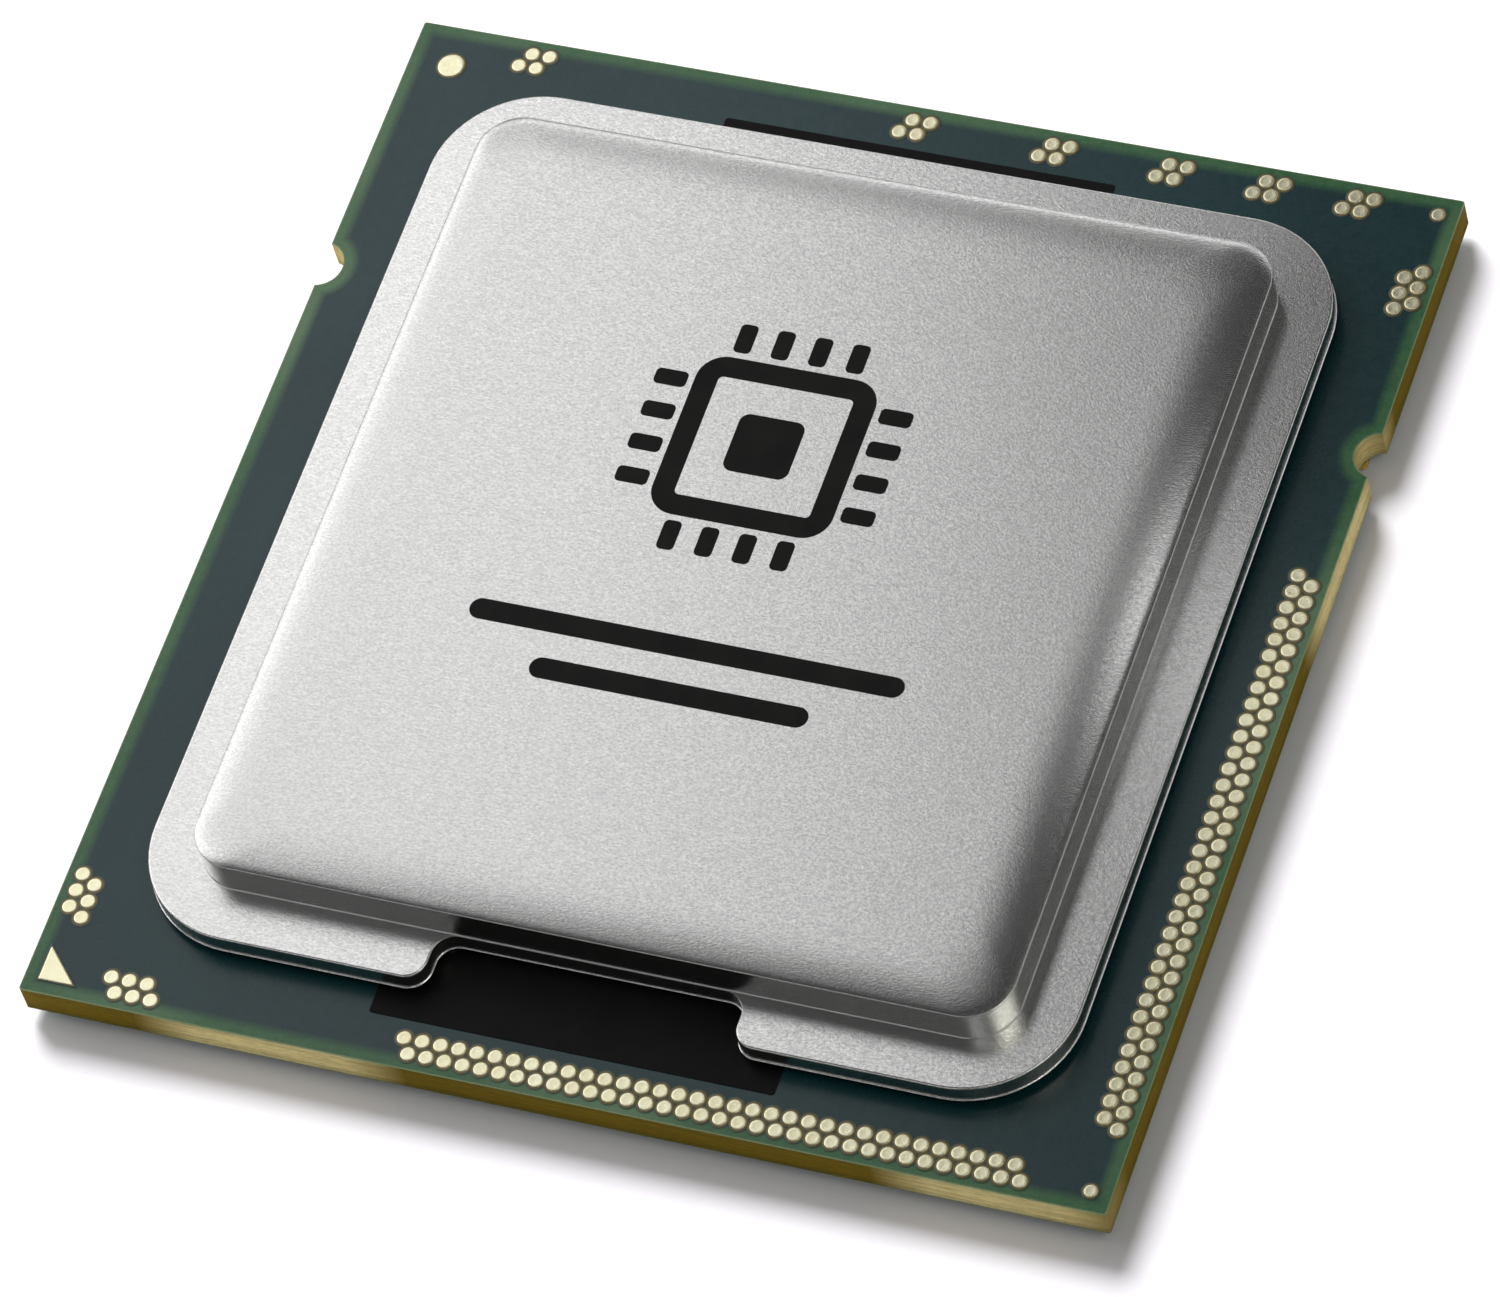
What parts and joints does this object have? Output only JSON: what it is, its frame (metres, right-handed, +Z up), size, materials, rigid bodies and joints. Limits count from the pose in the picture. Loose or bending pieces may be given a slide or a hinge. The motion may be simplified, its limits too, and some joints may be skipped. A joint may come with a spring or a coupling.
{
  "type": "cpu processor",
  "caption": "Desktop processor: green laminate package with gold contact lands below, and a notched, brushed nickel heat spreader bonded on top.",
  "frame": {"origin": "centre of the package's outline, on the surface that the land-side capacitors rest on", "axes": "+Z up out of the heat spreader, +X towards the right edge, +Y towards the rear edge; the corner with the pin-one triangle is at -X, -Y"},
  "size_m": [0.0426, 0.045, 0.0048],
  "materials": {
    "nickel_lid": "fine straight-brushed nickel plating over a copper lid, satin",
    "black_sealant": "black silicone bead, satin",
    "indium_solder": "soft grey solder, satin",
    "silicon": "polished silicon back side",
    "underfill_resin": "dark epoxy",
    "solder_mask": "dark blue-green solder mask with a lighter green border, semi-gloss",
    "buildup_resin": "amber build-up resin, cut edge",
    "core_glass_laminate": "golden glass laminate, cut edge",
    "black_ink": "smooth black ink",
    "gold_pads": "pale gold plating, satin",
    "gold_lands": "gold plating, satin",
    "capacitor_ceramic": "tan ceramic with tinned ends"
  },
  "bodies": {
    "root": {"heat_spreader": "nickel_lid", "lid_sealant": "black_sealant", "solder_thermal_layer": "indium_solder", "silicon_die": "silicon", "die_underfill": "underfill_resin", "top_solder_mask": "solder_mask", "upper_buildup_layers": "buildup_resin", "core_laminate": "core_glass_laminate", "lower_buildup_layers": "buildup_resin", "bottom_solder_mask": "solder_mask", "front_ink_panel": "black_ink", "rear_ink_panel": "black_ink", "rear_test_pads_1": "gold_pads", "rear_test_pads_2": "gold_pads", "rear_test_pads_3": "gold_pads", "rear_test_pads_4": "gold_pads", "rear_test_pads_5": "gold_pads", "rear_test_pads_6": "gold_pads", "right_test_pads": "gold_pads", "left_test_pads": "gold_pads", "front_left_test_pads": "gold_pads", "front_test_pad_strip": "gold_pads", "right_test_pad_strip": "gold_pads", "pin_one_triangle": "gold_pads", "rear_left_fiducial": "gold_pads", "front_right_dot": "gold_pads", "rear_right_dot": "gold_pads", "front_left_lands": "gold_lands", "rear_right_lands": "gold_lands", "land_side_capacitor_01": "capacitor_ceramic", "land_side_capacitor_02": "capacitor_ceramic", "land_side_capacitor_03": "capacitor_ceramic", "land_side_capacitor_04": "capacitor_ceramic", "land_side_capacitor_05": "capacitor_ceramic", "land_side_capacitor_06": "capacitor_ceramic", "land_side_capacitor_07": "capacitor_ceramic", "land_side_capacitor_08": "capacitor_ceramic", "land_side_capacitor_09": "capacitor_ceramic", "land_side_capacitor_10": "capacitor_ceramic", "land_side_capacitor_11": "capacitor_ceramic", "land_side_capacitor_12": "capacitor_ceramic", "land_side_capacitor_13": "capacitor_ceramic", "land_side_capacitor_14": "capacitor_ceramic", "land_side_capacitor_15": "capacitor_ceramic", "land_side_capacitor_16": "capacitor_ceramic", "land_side_capacitor_17": "capacitor_ceramic", "land_side_capacitor_18": "capacitor_ceramic", "land_side_capacitor_19": "capacitor_ceramic", "land_side_capacitor_20": "capacitor_ceramic", "land_side_capacitor_21": "capacitor_ceramic", "land_side_capacitor_22": "capacitor_ceramic", "land_side_capacitor_23": "capacitor_ceramic", "land_side_capacitor_24": "capacitor_ceramic"}
  },
  "joints": []
}
